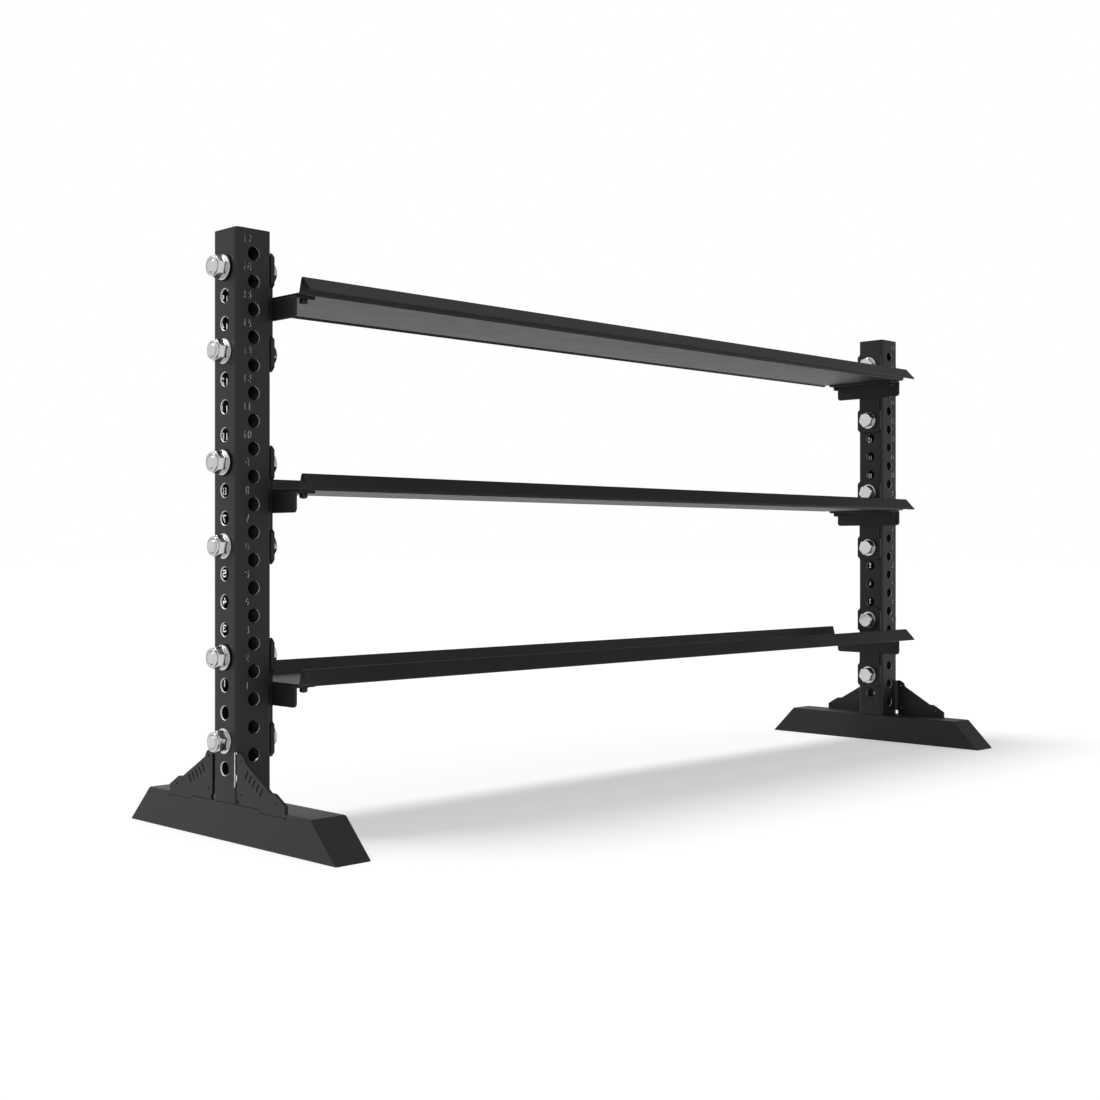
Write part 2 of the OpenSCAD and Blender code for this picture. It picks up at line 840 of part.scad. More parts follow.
module shelf_nuts(tier) {
    color(black_oxide)
        at_tray_bolts(tier, -arm_thickness - tray_washer_thickness - tray_nut_height)
            difference() {
                hexagon_blank(tray_nut_size, tray_nut_height, true);
                translate([0, 0, -over])
                    cylinder(h = tray_nut_height + 2 * over, d = tray_bolt_diameter);
            }
}

upright(left);  // left_upright
upright(right);  // right_upright
upright_cap(left);  // left_upright_cap
upright_cap(right);  // right_upright_cap
foot(left);  // left_foot
foot(right);  // right_foot
end_plate(left, front);  // left_front_end_plate
end_plate(left, rear);  // left_rear_end_plate
end_plate(right, front);  // right_front_end_plate
end_plate(right, rear);  // right_rear_end_plate
gusset(left, front);  // left_front_gusset
gusset(left, rear);  // left_rear_gusset
gusset(right, front);  // right_front_gusset
gusset(right, rear);  // right_rear_gusset
bracket_plate(left, top);  // left_top_bracket_plate
bracket_plate(left, middle);  // left_middle_bracket_plate
bracket_plate(left, bottom);  // left_bottom_bracket_plate
bracket_plate(right, top);  // right_top_bracket_plate
bracket_plate(right, middle);  // right_middle_bracket_plate
bracket_plate(right, bottom);  // right_bottom_bracket_plate
bracket_arm(left, top);  // left_top_bracket_arm
bracket_arm(left, middle);  // left_middle_bracket_arm
bracket_arm(left, bottom);  // left_bottom_bracket_arm
bracket_arm(right, top);  // right_top_bracket_arm
bracket_arm(right, middle);  // right_middle_bracket_arm
bracket_arm(right, bottom);  // right_bottom_bracket_arm
shelf(top);  // top_shelf
shelf(middle);  // middle_shelf
shelf(bottom);  // bottom_shelf
bracket_bolts(left);  // left_bracket_bolts
bracket_bolts(right);  // right_bracket_bolts
head_washers(left);  // left_head_washers
head_washers(right);  // right_head_washers
nut_washers(left);  // left_nut_washers
nut_washers(right);  // right_nut_washers
spacer_rings(left);  // left_spacer_rings
spacer_rings(right);  // right_spacer_rings
lock_nuts(left);  // left_lock_nuts
lock_nuts(right);  // right_lock_nuts
nut_inserts(left);  // left_nut_inserts
nut_inserts(right);  // right_nut_inserts
shelf_bolts(top);  // top_shelf_bolts
shelf_bolts(middle);  // middle_shelf_bolts
shelf_bolts(bottom);  // bottom_shelf_bolts
shelf_washers(top);  // top_shelf_washers
shelf_washers(middle);  // middle_shelf_washers
shelf_washers(bottom);  // bottom_shelf_washers
shelf_nuts(top);  // top_shelf_nuts
shelf_nuts(middle);  // middle_shelf_nuts
shelf_nuts(bottom);  // bottom_shelf_nuts
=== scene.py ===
# %% [markdown]
# # A dumbbell rack
# Gyms keep dumbbells on racks like this one. Two square steel uprights, with holes all the way up,
# stand on splayed feet. Three folded steel trays are bolted between them on brackets.
# The CAD model holds every size. This lesson dresses it: each visible piece gets rounded edges, real
# bends or real threads, and each finish is built from nodes.

# %% Load the CAD model and measure it
import math

import bmesh
import bpy
import numpy as np
from mathutils import Matrix, Vector


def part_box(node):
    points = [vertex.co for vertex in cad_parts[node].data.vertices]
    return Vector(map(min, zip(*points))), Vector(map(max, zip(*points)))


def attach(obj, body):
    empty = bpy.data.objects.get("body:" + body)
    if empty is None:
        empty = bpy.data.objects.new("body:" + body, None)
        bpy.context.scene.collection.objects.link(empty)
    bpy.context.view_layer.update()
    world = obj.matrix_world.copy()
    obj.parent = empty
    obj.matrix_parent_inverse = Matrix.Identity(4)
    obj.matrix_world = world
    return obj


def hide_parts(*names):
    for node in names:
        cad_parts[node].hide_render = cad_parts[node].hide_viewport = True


MM = 0.001

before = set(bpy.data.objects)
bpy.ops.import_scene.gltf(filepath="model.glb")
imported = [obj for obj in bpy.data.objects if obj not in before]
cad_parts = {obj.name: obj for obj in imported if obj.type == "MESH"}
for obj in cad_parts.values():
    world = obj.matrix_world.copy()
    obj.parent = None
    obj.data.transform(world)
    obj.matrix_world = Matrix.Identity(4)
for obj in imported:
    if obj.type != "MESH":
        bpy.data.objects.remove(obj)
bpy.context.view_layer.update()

# %% [markdown]
# ## Reading sizes from the frame
# Nothing is measured twice. The box of a CAD node gives the sizes of the piece that will replace it,
# so the dressed rack follows the CAD model when that changes. Only sizes that no box shows, such as a
# bend radius or a thread pitch, are written down here.

# %% Sizes of the rack
SIDES = {"left": -1, "right": 1}
TIERS = ("bottom", "middle", "top")


def middle(node):
    """The centre of a CAD node's box."""
    low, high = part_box(node)
    return (low + high) / 2


def extent(node):
    """The size of a CAD node's box."""
    low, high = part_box(node)
    return high - low


TUBE = extent("left_upright").x
HALF_TUBE = TUBE / 2
TUBE_WALL = (TUBE - extent("left_upright_cap").x) / 2
UPRIGHT_X = middle("right_upright").x
RACK_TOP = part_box("right_upright")[1].z
FOOT_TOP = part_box("right_foot")[1].z
TIER_PITCH = middle("middle_shelf").z - middle("bottom_shelf").z
WASHER_SIZE = 2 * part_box("right_head_washers")[1].y
LOWEST_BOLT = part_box("right_head_washers")[0].z + WASHER_SIZE / 2
BOLT_SPACING = extent("right_head_washers").z - WASHER_SIZE - 2 * TIER_PITCH
print("tube", round(TUBE / MM, 1), "wall", round(TUBE_WALL / MM, 1), "tier pitch", round(TIER_PITCH / MM, 1),
      "lowest bolt", round(LOWEST_BOLT / MM, 1), "bolt spacing", round(BOLT_SPACING / MM, 1))

# %% [markdown]
# ## Small helpers for node trees
# A node tree is easy to read when each node is one line. One helper adds any node, sets its properties
# and fills its sockets, whether with a value or with a link from another node. Colours are written as
# hex numbers, the way a paint chart gives them, and turned to the linear values that a shader needs.
# The other helpers start and end a material, and make the cloudy patterns that every finish uses.

# %% Helpers for nodes and colours


def add(tree, kind, inputs=None, **settings):
    """Adds one node to a tree, with its settings, its socket values and its links. A node that is
    given in place of a socket stands for its first output."""
    node = tree.nodes.new(kind)
    for name, value in settings.items():
        setattr(node, name, value)
    for socket, value in (inputs or {}).items():
        if isinstance(value, bpy.types.Node):
            value = value.outputs[0]
        if isinstance(value, bpy.types.NodeSocket):
            tree.links.new(value, node.inputs[socket])
        else:
            node.inputs[socket].default_value = value
    return node


def linear(hex_colour):
    """Turns an sRGB colour such as #c0c0c0 into linear red, green, blue and alpha."""
    parts = [int(hex_colour[i:i + 2], 16) / 255 for i in (1, 3, 5)]
    return [p / 12.92 if p <= 0.04045 else ((p + 0.055) / 1.055) ** 2.4 for p in parts] + [1.0]


print("zinc grey is", [round(c, 2) for c in linear("#c2c5c7")], "in linear light")

# %% Helpers for materials
# Most of a noise lies between these two values, so they become the ends of a range.
NOISE_MIDDLE = {"From Min": 0.3, "From Max": 0.7}
# The Mix node has a set of sockets for each kind of value. These are the ones for colours.
MIX_FIRST, MIX_SECOND, MIX_RESULT = 6, 7, 2


def new_material(name):
    """An empty material, its tree and its Object coordinates."""
    material = bpy.data.materials.new(name)
    material.use_nodes = True
    tree = material.node_tree
    tree.nodes.clear()
    return material, tree, add(tree, "ShaderNodeTexCoord").outputs["Object"]


def end_material(tree, inputs):
    """Ends a material with its shader."""
    shader = add(tree, "ShaderNodeBsdfPrincipled", inputs)
    add(tree, "ShaderNodeOutputMaterial", {"Surface": shader})


def spots(tree, place, size_mm, detail=2.0, stretch=(1, 1, 1)):
    """Cloudy noise whose features are about size_mm across, stretched along an axis if asked."""
    mapped = add(tree, "ShaderNodeMapping", {"Vector": place, "Scale": stretch})
    return add(tree, "ShaderNodeTexNoise",
               {"Vector": mapped, "Scale": 1 / (size_mm * MM), "Detail": detail, "Roughness": 0.55})


def tinted(tree, noise, dark, pale):
    """Colours the useful middle of a noise, from one hex colour to another."""
    share = add(tree, "ShaderNodeMapRange", {"Value": noise, **NOISE_MIDDLE})
    mix = add(tree, "ShaderNodeMix", {0: share, MIX_FIRST: linear(dark), MIX_SECOND: linear(pale)},
              data_type="RGBA")
    return mix.outputs[MIX_RESULT]


print("a noise is used from", NOISE_MIDDLE["From Min"], "to", NOISE_MIDDLE["From Max"])

# %% [markdown]
# ## Powder coat
# The steel is sprayed with dry black powder and baked, so that it melts to a thick satin skin. It is a
# plastic-like film: no metal shows, highlights are broad and soft, and the skin has a faint orange
# peel. The peel of the real coat is about half a millimetre across. It is drawn at two millimetres
# here, because a finer one can't be seen from where the rack is looked at.

# %% Make the powder coat
PEEL_MM = 2.0
CLOUD_MM = 55
COAT_GRAIN_MM = 0.7
FLECKS = {"To Min": 0, "To Max": 0.35}
COAT_ROUGHNESS = {"To Min": 0.485, "To Max": 0.525}
COAT_IOR = 1.39


def make_powder_coat():
    material, tree, place = new_material("satin_black_powder_coat")
    cloud = spots(tree, place, CLOUD_MM)
    grain = spots(tree, place, COAT_GRAIN_MM, detail=1.0)
    peel = spots(tree, place, PEEL_MM)
    tone = tinted(tree, cloud, "#131314", "#19191a")
    share = add(tree, "ShaderNodeMapRange", {"Value": grain, **NOISE_MIDDLE, **FLECKS})
    fleck = add(tree, "ShaderNodeMix", {0: share, MIX_FIRST: tone, MIX_SECOND: linear("#2a2a2b")},
                data_type="RGBA")
    height = add(tree, "ShaderNodeMath", {0: peel, 1: grain})
    bump = add(tree, "ShaderNodeBump", {"Height": height, "Strength": 0.25, "Distance": 0.12 * MM})
    sheen = add(tree, "ShaderNodeMapRange", {"Value": cloud, **NOISE_MIDDLE, **COAT_ROUGHNESS})
    end_material(tree, {"Base Color": fleck.outputs[MIX_RESULT], "Roughness": sheen, "Normal": bump,
                        "IOR": COAT_IOR})
    return material


powder_coat = make_powder_coat()
print("made", powder_coat.name)

# %% [markdown]
# ## Bare cut steel
# The holes, slots and numbers are cut by laser, and their walls are left bare. A laser melts the steel
# and leaves a pale, frosted wall with fine lines straight through it, so it shines without mirroring.

# %% Make the bare cut steel
CUT_LINE_MM = 0.6
TARNISH_MM = 9
CUT_ROUGHNESS = {"To Min": 0.55, "To Max": 0.75}


def make_cut_steel():
    material, tree, place = new_material("laser_cut_steel")
    lines = spots(tree, place, CUT_LINE_MM, detail=1.0, stretch=(0.1, 0.1, 1))
    tarnish = spots(tree, place, TARNISH_MM)
    tone = tinted(tree, tarnish, "#dcdbd8", "#efeeea")
    bump = add(tree, "ShaderNodeBump", {"Height": lines, "Strength": 0.2, "Distance": 0.1 * MM})
    frost = add(tree, "ShaderNodeMapRange", {"Value": lines, **NOISE_MIDDLE, **CUT_ROUGHNESS})
    end_material(tree, {"Base Color": tone, "Roughness": frost, "Normal": bump, "Metallic": 1.0})
    return material


cut_steel = make_cut_steel()
print("made", cut_steel.name)

# %% [markdown]
# ## Zinc plate
# The big bolts, nuts and washers are zinc plated: a bright silver skin, a little cloudy, with faint
# bluish and straw-coloured patches where the passivation is thicker, and soft rolling marks.

# %% Make the zinc plate
PATCH_MM = 7
HAZE_MM = 1.2
ZINC_ROUGHNESS = {"To Min": 0.15, "To Max": 0.22}


def make_zinc_plate():
    material, tree, place = new_material("bright_zinc_plate")
    patches = spots(tree, place, PATCH_MM, detail=3.0)
    haze = spots(tree, place, HAZE_MM)
    tone = tinted(tree, patches, "#c2c5c7", "#cac9c4")
    bump = add(tree, "ShaderNodeBump", {"Height": haze, "Strength": 0.06, "Distance": 0.05 * MM})
    gloss = add(tree, "ShaderNodeMapRange", {"Value": haze, **NOISE_MIDDLE, **ZINC_ROUGHNESS})
    end_material(tree, {"Base Color": tone, "Roughness": gloss, "Normal": bump, "Metallic": 1.0})
    return material


zinc_plate = make_zinc_plate()
print("made", zinc_plate.name)

# %% [markdown]
# ## Black oxide and nylon
# The small tray fasteners and the spacer rings are blackened in a hot salt bath, which leaves a thin
# dark skin on the metal. The tray fasteners were oiled after it and have a soft gloss. The spacer
# rings were left dry, so they are matt and almost without a highlight. The ring that grips the thread
# in a lock nut is natural nylon, milky and a little waxy.

# %% Make the black oxides
SMEAR_MM = 4


def make_black_oxide(name, dark, pale, smooth, rough, metallic):
    material, tree, place = new_material(name)
    smear = spots(tree, place, SMEAR_MM, detail=3.0)
    tone = tinted(tree, smear, dark, pale)
    sheen = add(tree, "ShaderNodeMapRange",
                {"Value": smear, **NOISE_MIDDLE, "To Min": smooth, "To Max": rough})
    end_material(tree, {"Base Color": tone, "Roughness": sheen, "Metallic": metallic})
    return material


oiled_oxide = make_black_oxide("oiled_black_oxide", dark="#1c1c1d", pale="#262524",
                               smooth=0.28, rough=0.42, metallic=0.55)
dry_oxide = make_black_oxide("dry_black_oxide", dark="#0b0b0b", pale="#131312",
                             smooth=0.6, rough=0.75, metallic=0.9)
print("made", oiled_oxide.name, "and", dry_oxide.name)

# %% Make the nylon
MILK_MM = 3
NYLON_ROUGHNESS = {"To Min": 0.38, "To Max": 0.48}
NYLON_IOR = 1.53


def make_nylon():
    material, tree, place = new_material("natural_nylon")
    milk = spots(tree, place, MILK_MM)
    tone = tinted(tree, milk, "#e8e8e3", "#f2f2ee")
    wax = add(tree, "ShaderNodeMapRange", {"Value": milk, **NOISE_MIDDLE, **NYLON_ROUGHNESS})
    end_material(tree, {"Base Color": tone, "Roughness": wax, "IOR": NYLON_IOR})
    return material


nylon = make_nylon()
print("made", nylon.name)

# %% [markdown]
# ## From CAD solid to finished mesh
# A CAD mesh arrives as loose triangles with razor edges. Real cut and coated steel has edges about
# half a millimetre round, and that thin round catches the light. So each solid is copied, its
# triangles are merged, its flat areas are joined into single faces and its sharp edges are rounded.

# %% Helpers for finished pieces
SMOOTH_ANGLE = math.radians(35)
FLAT_FACE_WEIGHT = 90


def plain_object(name, mesh):
    """Links a mesh into the scene as an object at the origin."""
    piece = bpy.data.objects.new(name, mesh)
    bpy.context.scene.collection.objects.link(piece)
    return piece


def shade(mesh):
    """Smooths the shading everywhere but at sharp edges."""
    mesh.shade_smooth()
    mesh.set_sharp_from_angle(angle=SMOOTH_ANGLE)


def baked(piece, name):
    """Turns a piece with its modifiers into a plain mesh under a new name."""
    evaluated = piece.evaluated_get(bpy.context.evaluated_depsgraph_get())
    mesh = bpy.data.meshes.new_from_object(evaluated)
    mesh.name = name
    bpy.data.objects.remove(piece)
    return plain_object(name, mesh)


def weight_normals(piece):
    """Lets large flat faces keep their own normals beside small round ones."""
    modifier = piece.modifiers.new("weighted_normals", "WEIGHTED_NORMAL")
    modifier.keep_sharp = True
    modifier.weight = FLAT_FACE_WEIGHT


def settle(piece, node):
    """Puts a finished piece under the root body and hides the CAD node that it stands in for."""
    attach(piece, "root")
    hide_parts(node)


print("an edge is sharp from", round(math.degrees(SMOOTH_ANGLE)), "degrees")

# %% Helpers that round edges
MERGE_DISTANCE = 0.001 * MM
FLAT_ANGLE = math.radians(0.5)
ROUND_SEGMENTS = 2


def merged(node):
    """A CAD node's mesh with its triangles merged and its flat areas joined."""
    shape = bmesh.new()
    shape.from_mesh(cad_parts[node].data)
    bmesh.ops.remove_doubles(shape, verts=shape.verts, dist=MERGE_DISTANCE)
    bmesh.ops.dissolve_limit(shape, angle_limit=FLAT_ANGLE, verts=shape.verts, edges=shape.edges)
    return shape


def is_sharp(edge):
    return len(edge.link_faces) == 2 and edge.calc_face_angle(0) > SMOOTH_ANGLE


def round_edges(shape, radius_mm, chosen=is_sharp, careful=True):
    """Rounds the chosen sharp edges. A careful bevel shrinks where edges are close; a plain one is as
    wide as asked everywhere."""
    edges = [e for e in shape.edges if is_sharp(e) and chosen(e)]
    bmesh.ops.bevel(shape, geom=edges, offset=radius_mm * MM, segments=ROUND_SEGMENTS, profile=0.5,
                    affect="EDGES", clamp_overlap=careful)


def finished(node, radius_mm, chosen=is_sharp, careful=True):
    """Copies a CAD node, rounds its edges, coats it and puts the copy in its place."""
    shape = merged(node)
    round_edges(shape, radius_mm, chosen, careful)
    mesh = bpy.data.meshes.new(node)
    shape.to_mesh(mesh)
    shape.free()
    shade(mesh)
    piece = plain_object("draft", mesh)
    weight_normals(piece)
    piece = baked(piece, "finished_" + node)
    piece.data.materials.clear()
    piece.data.materials.append(powder_coat)
    settle(piece, node)
    return piece


print("the left foot comes as", len(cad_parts["left_foot"].data.polygons), "triangles")

# %% [markdown]
# ## Feet, gussets and brackets
# These are flat plates, folded plates and plain tube, so their CAD shapes are right as they are. They
# only need the rounded edges. The end plates of a foot are welded on and ground flush, so no edge is
# rounded along the seam: only the edges of the slanted outer face are, and the foot keeps its own.

# %% Round the plates
PLATE_ROUND_MM = 0.5
ARM_ROUND_MM = 0.6
ON_FACE = 0.1 * MM


def on_outer_face(node):
    """A test for the edges of a foot end plate's slanted outer face."""
    face = max(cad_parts[node].data.vertices, key=lambda v: abs(v.co.y)).co
    reach = abs(face.y) + face.z

    def chosen(edge):
        return all(abs(abs(v.co.y) + v.co.z - reach) < ON_FACE for v in edge.verts)

    return chosen


def never(edge):
    return False


for side in SIDES:
    finished(f"{side}_foot", PLATE_ROUND_MM, never)
    finished(f"{side}_upright_cap", PLATE_ROUND_MM)
    for end in ("front", "rear"):
        finished(f"{side}_{end}_gusset", PLATE_ROUND_MM)
        finished(f"{side}_{end}_end_plate", PLATE_ROUND_MM, on_outer_face(f"{side}_{end}_end_plate"))
    for tier in TIERS:
        finished(f"{side}_{tier}_bracket_plate", ARM_ROUND_MM)
        finished(f"{side}_{tier}_bracket_arm", ARM_ROUND_MM, careful=False)
print("rounded the plates and coated the feet")

# %% [markdown]
# ## Uprights
# An upright is a square tube with round corners, laser cut with twenty holes in front and behind and
# nineteen on each side. Numbers are cut through the front and rear walls too. The CAD copy keeps every
# cut. Its faces are then sorted: what lies inside the thickness of a wall was cut, and gets bare
# steel. The rest is coated. The bevel round a hole keeps its coat, but for the outer sides of the
# rack, where it gets bare pale steel as a painted highlight for the bright, lit rim of the holes there.

# %% Sort the faces of a tube
TUBE_CORNER = 8 * MM
CORNER_SLOT = 6 * MM
SLOT_EDGE = HALF_TUBE - CORNER_SLOT
TOP_ROUND = 1.0 * MM
FACE_GAP = 0.05 * MM
# A face less deep than this is the tube's own skin.
SKIN = 0.1 * MM
# The bevel round a hole is less deep than this.
COATED_BEVEL = 0.6 * MM


def depth_in_wall(point, centre_x):
    """How deep a point lies under the outer skin of a square tube with round corners."""
    flat = HALF_TUBE - TUBE_CORNER
    beyond = (abs(point.x - centre_x) - flat, abs(point.y) - flat)
    return TUBE_CORNER - math.hypot(max(beyond[0], 0), max(beyond[1], 0)) - min(max(beyond), 0)


def is_cut(face, centre_x):
    """Whether a face lies between the tube's outer and inner skins, and kept no coat."""
    along, across = abs(face.center.x - centre_x), abs(face.center.y)
    behind_the_slot = min(along, across) > SLOT_EDGE + FACE_GAP
    outwards = (face.center.x - centre_x) * centre_x > 0
    # On the outer sides a hole's bevel is bare steel too: a painted highlight for the lit rim of the hole.
    coat = SKIN if along > across and outwards else COATED_BEVEL
    in_wall = coat < depth_in_wall(face.center, centre_x) < TUBE_WALL - FACE_GAP
    below_the_rim = FOOT_TOP + FACE_GAP < face.center.z < RACK_TOP - TOP_ROUND
    return in_wall and below_the_rim and not behind_the_slot


print("the corner slots begin", round(SLOT_EDGE / MM, 1), "mm from the middle of the tube")

# %% Finish the uprights
SLOT_ROUND_MM = 0.8


def on_slot(point, centre_x):
    """Whether a point is on the outer edge of a slot beside a gusset."""
    return abs(abs(point.y) - SLOT_EDGE) < FACE_GAP and abs(depth_in_wall(point, centre_x)) < FACE_GAP


def rim_or_slot(centre_x):
    """A test for the edges of the tube's open top and of the slots."""

    def chosen(edge):
        points = [v.co for v in edge.verts]
        return all(p.z > RACK_TOP - FACE_GAP for p in points) or all(on_slot(p, centre_x) for p in points)

    return chosen


for side, sign in SIDES.items():
    upright = finished(f"{side}_upright", SLOT_ROUND_MM, rim_or_slot(sign * UPRIGHT_X))
    upright.data.materials.append(cut_steel)
    bare = upright.data.materials.find(cut_steel.name)
    cut = [f for f in upright.data.polygons if is_cut(f, sign * UPRIGHT_X)]
    for face in cut:
        face.material_index = bare
    print(upright.name, len(upright.data.polygons), "faces,", len(cut), "of them cut")

# %% [markdown]
# ## Trays
# A tray is one sheet of 3 mm steel with four folds: a flat floor, a ridge on each side that keeps the
# dumbbells from rolling off, and an outer flange that slopes back down. Its shape follows a rule, so a
# geometry node tree builds it: six corner points, rounded by the bend radius, swept along the rack.
# Solidify then gives the sheet its thickness, and a small bevel rounds its cut edges.

# %% Helpers for geometry trees


def new_tree(name, sockets):
    """An empty geometry tree, its named inputs and their identifiers."""
    tree = bpy.data.node_groups.new(name, "GeometryNodeTree")
    tree.interface.new_socket("Geometry", in_out="OUTPUT", socket_type="NodeSocketGeometry")
    keys = {}
    for label, kind in sockets.items():
        socket = tree.interface.new_socket(label, in_out="INPUT", socket_type="NodeSocket" + kind)
        keys[label] = socket.identifier
    return tree, add(tree, "NodeGroupInput").outputs, keys


def end_tree(tree, geometry, material):
    """Ends a tree with Realize Instances and Set Material."""
    real = add(tree, "GeometryNodeRealizeInstances", {"Geometry": geometry})
    painted = add(tree, "GeometryNodeSetMaterial", {"Geometry": real, "Material": material})
    add(tree, "NodeGroupOutput", {"Geometry": painted})


def apply_tree(piece, tree, keys, values):
    """Puts a tree on a piece and sets its inputs by their identifiers."""
    modifier = piece.modifiers.new(tree.name, "NODES")
    modifier.node_group = tree
    for label, value in values.items():
        modifier[keys[label]] = value


print("geometry helpers ready")

# %% Build the tray's node tree


def corner(tree, start_x, across, height, side):
    """A point of the profile, on the rear side where side is 1 and on the front where it is -1."""
    signed = add(tree, "ShaderNodeMath", {0: across, 1: float(side)}, operation="MULTIPLY")
    return add(tree, "ShaderNodeCombineXYZ", {"X": start_x, "Y": signed, "Z": height}).outputs["Vector"]


def make_tray_tree():
    tree, given, keys = new_tree("folded_tray", {
        "Start": "Float", "Length": "Float", "Underside": "Float", "Half floor": "Float",
        "Ridge": "Float", "Edge": "Float", "Sheet": "Float", "Fold top": "Float", "Lip": "Float",
        "Bend radius": "Float", "Bend steps": "Int", "Material": "Material"})
    half_sheet = add(tree, "ShaderNodeMath", {0: given["Sheet"], 1: 0.5}, operation="MULTIPLY")
    level = add(tree, "ShaderNodeMath", {0: given["Underside"], 1: half_sheet})
    crest = add(tree, "ShaderNodeMath", {0: given["Underside"], 1: given["Fold top"]})
    lip = add(tree, "ShaderNodeMath", {0: given["Underside"], 1: given["Lip"]})
    stops = [("Edge", lip), ("Ridge", crest), ("Half floor", level)]
    points = [corner(tree, given["Start"], given[name], height, -1) for name, height in stops]
    points += [corner(tree, given["Start"], given[name], height, 1) for name, height in reversed(stops)]
    number = add(tree, "GeometryNodeInputIndex")
    pick = add(tree, "GeometryNodeIndexSwitch", {"Index": number}, data_type="VECTOR")
    while len(pick.index_switch_items) < len(points):
        pick.index_switch_items.new()
    for socket, point in zip(pick.inputs[1:], points):
        tree.links.new(point, socket)
    line = add(tree, "GeometryNodeMeshLine", {"Count": len(points)})
    placed = add(tree, "GeometryNodeSetPosition", {"Geometry": line, "Position": pick})
    path = add(tree, "GeometryNodeMeshToCurve", {"Mesh": placed})
    bent = add(tree, "GeometryNodeFilletCurve",
               {"Curve": path, "Radius": given["Bend radius"], "Count": given["Bend steps"]}, mode="POLY")
    profile = add(tree, "GeometryNodeCurveToMesh", {"Curve": bent})
    along = add(tree, "ShaderNodeCombineXYZ", {"X": given["Length"]})
    sheet = add(tree, "GeometryNodeExtrudeMesh", {"Mesh": profile, "Offset": along, "Offset Scale": 1.0},
                mode="EDGES")
    end_tree(tree, sheet, given["Material"])
    return tree, keys


tray_tree, tray_keys = make_tray_tree()
print("tray tree has", len(tray_tree.nodes), "nodes")

# %% Make the trays
SHEET = 3 * MM
SHEET_ROUND = 0.4 * MM
CUT_EDGE_ANGLE = math.radians(60)
BEND_RADIUS = 3 * MM
BEND_STEPS = 7
HALF_FLOOR = 218 * MM / 2
RIDGE_LEAN = 9 * MM
LIP_HEIGHT = 2.1 * MM
# A rounded crest lies lower than the sharp corner it is bent from, by this many bend radii.
FOLD_OVERSHOOT = 0.9


def make_tray(tier):
    low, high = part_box(f"{tier}_shelf")
    draft = plain_object("draft", bpy.data.meshes.new("draft"))
    apply_tree(draft, tray_tree, tray_keys, {
        "Start": low.x, "Length": high.x - low.x, "Underside": low.z, "Half floor": HALF_FLOOR,
        "Ridge": HALF_FLOOR + RIDGE_LEAN - SHEET / 2, "Edge": high.y - SHEET / 2,
        "Fold top": high.z - low.z - SHEET / 2 + FOLD_OVERSHOOT * BEND_RADIUS, "Lip": LIP_HEIGHT,
        "Sheet": SHEET, "Bend radius": BEND_RADIUS, "Bend steps": BEND_STEPS, "Material": powder_coat})
    wall = draft.modifiers.new("sheet", "SOLIDIFY")
    wall.thickness = SHEET
    wall.offset = 0
    wall.use_even_offset = True
    rounding = draft.modifiers.new("rounding", "BEVEL")
    rounding.width = SHEET_ROUND
    rounding.segments = ROUND_SEGMENTS
    rounding.limit_method = "ANGLE"
    rounding.angle_limit = CUT_EDGE_ANGLE
    tray = baked(draft, f"folded_{tier}_tray")
    shade(tray.data)
    weight_normals(tray)
    tray = baked(tray, f"folded_{tier}_tray")
    settle(tray, f"{tier}_shelf")
    return tray


for tier in TIERS:
    tray = make_tray(tier)
    print(tray.name, len(tray.data.polygons), "faces", [round(d / MM, 1) for d in tray.dimensions])

# %% [markdown]
# ## Fasteners, one of each
# A bolt or a nut is forged from steel rod, and the corners of its hexagon are turned to a cone. Each
# is skinned from rings of points about an axis. A ring is round, or it follows the six flats. Where
# the hexagon meets the cone, its height follows the flats too, which gives the curved lines seen on
# every real nut.

# %% Helpers that draw rings
SEGMENTS = 72
CHAMFER_SLOPE = math.tan(math.radians(30))
FACE_SHARE = 0.95


def round_ring(radius, height, segments=SEGMENTS):
    """A ring of points about Z."""
    turn = np.arange(segments) * 2 * math.pi / segments
    level = np.broadcast_to(height, turn.shape)
    return np.stack([radius * np.cos(turn), radius * np.sin(turn), level], axis=1)


def hex_radius(size):
    """The distance from the axis to a hexagon's edge, for each point of a ring."""
    turn = np.degrees(np.arange(SEGMENTS) * 2 * math.pi / SEGMENTS)
    return size / 2 / np.cos(np.radians((turn + 30) % 60 - 30))


def hex_ring(size, height, towards):
    """A ring that follows a hexagon, where it meets the chamfer's cone. towards is 1 for a cone that
    closes upwards, -1 for one that closes downwards and 0 for none."""
    radius = hex_radius(size)
    drop = (radius - size / 2 * FACE_SHARE) * CHAMFER_SLOPE
    return round_ring(radius, height - towards * drop)


print("a ring has", SEGMENTS, "points")

# %% Helpers that skin rings


def skin(rings, closed):
    """Joins rings of points to a mesh: a closed loop of rings, or an open row with its ends filled."""
    shape = bmesh.new()
    rows = [[shape.verts.new(point) for point in ring] for ring in rings]
    count = len(rows[0])
    pairs = list(zip(rows, rows[1:] + rows[:1])) if closed else list(zip(rows, rows[1:]))
    for low, high in pairs:
        for i in range(count):
            j = (i + 1) % count
            shape.faces.new((low[i], low[j], high[j], high[i]))
    if not closed:
        shape.faces.new(rows[0][::-1])
        shape.faces.new(rows[-1])
    bmesh.ops.recalc_face_normals(shape, faces=shape.faces)
    return shape


def to_mesh(name, *shapes):
    """One mesh from several bmesh shapes."""
    whole = bmesh.new()
    for shape in shapes:
        part = bpy.data.meshes.new("part")
        shape.to_mesh(part)
        shape.free()
        whole.from_mesh(part)
        bpy.data.meshes.remove(part)
    mesh = bpy.data.meshes.new(name)
    whole.to_mesh(mesh)
    whole.free()
    shade(mesh)
    return mesh


print("skin helpers ready")

